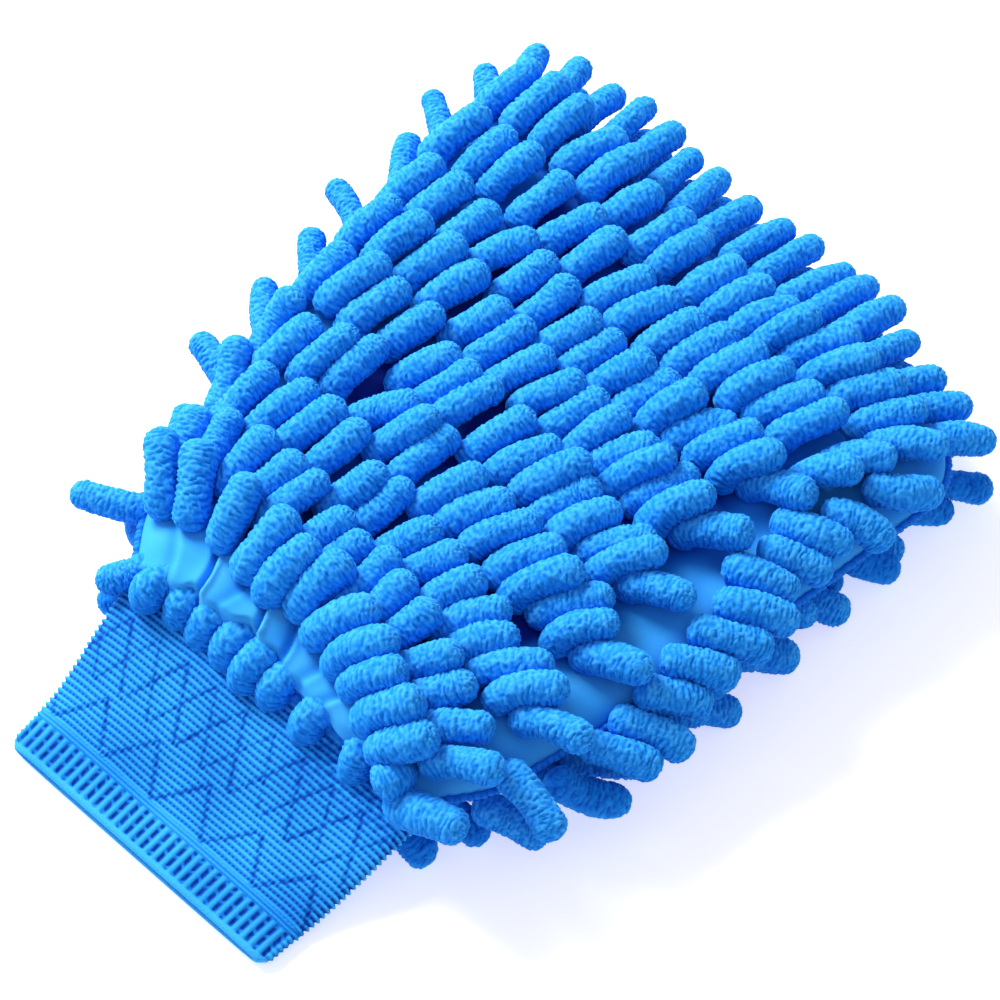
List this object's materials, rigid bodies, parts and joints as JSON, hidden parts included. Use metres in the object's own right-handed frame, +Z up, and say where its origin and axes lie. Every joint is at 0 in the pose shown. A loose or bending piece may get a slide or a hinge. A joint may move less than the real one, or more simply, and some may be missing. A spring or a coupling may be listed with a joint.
{
  "type": "wash mitt",
  "caption": "Hand mitt of chenille noodles sewn in rows on two backing panels, with a flat knitted cuff, laid on a table; hollow, so that a hand goes in at the cuff.",
  "frame": {"origin": "on the table, below the centre of the mitt's box, cuff and noodles included", "axes": "+X across the mitt, +Y from the cuff's mouth to the finger end, +Z up from the table"},
  "size_m": [0.2308, 0.2796, 0.048],
  "materials": {
    "chenille": "matte microfibre pile with a soft sheen",
    "backing_fabric": "smooth matte jersey",
    "lining_fabric": "smooth thin knit",
    "cuff_knit": "matte ribbed and figured knit",
    "seam_thread": "matte sewing thread",
    "elastic": "matte braided elastic"
  },
  "bodies": {
    "root": {"cuff_inner_ply": "cuff_knit", "cuff_join_seam": "seam_thread", "cuff_outer_ply": "cuff_knit", "cuff_welt": "cuff_knit", "lower_cuff_fringe": "chenille", "lower_far_noodles": "chenille", "lower_left_noodles": "chenille", "lower_lining": "lining_fabric", "lower_noodle_row_01": "chenille", "lower_noodle_row_02": "chenille", "lower_noodle_row_03": "chenille", "lower_noodle_row_04": "chenille", "lower_noodle_row_05": "chenille", "lower_noodle_row_06": "chenille", "lower_noodle_row_07": "chenille", "lower_noodle_row_08": "chenille", "lower_noodle_row_09": "chenille", "lower_panel": "backing_fabric", "lower_right_noodles": "chenille", "lower_row_stitching": "seam_thread", "side_seam": "seam_thread", "upper_cuff_fringe": "chenille", "upper_far_noodles": "chenille", "upper_left_noodles": "chenille", "upper_lining": "lining_fabric", "upper_noodle_row_01": "chenille", "upper_noodle_row_02": "chenille", "upper_noodle_row_03": "chenille", "upper_noodle_row_04": "chenille", "upper_noodle_row_05": "chenille", "upper_noodle_row_06": "chenille", "upper_noodle_row_07": "chenille", "upper_noodle_row_08": "chenille", "upper_noodle_row_09": "chenille", "upper_panel": "backing_fabric", "upper_right_noodles": "chenille", "upper_row_stitching": "seam_thread", "welt_elastic": "elastic"}
  },
  "joints": []
}
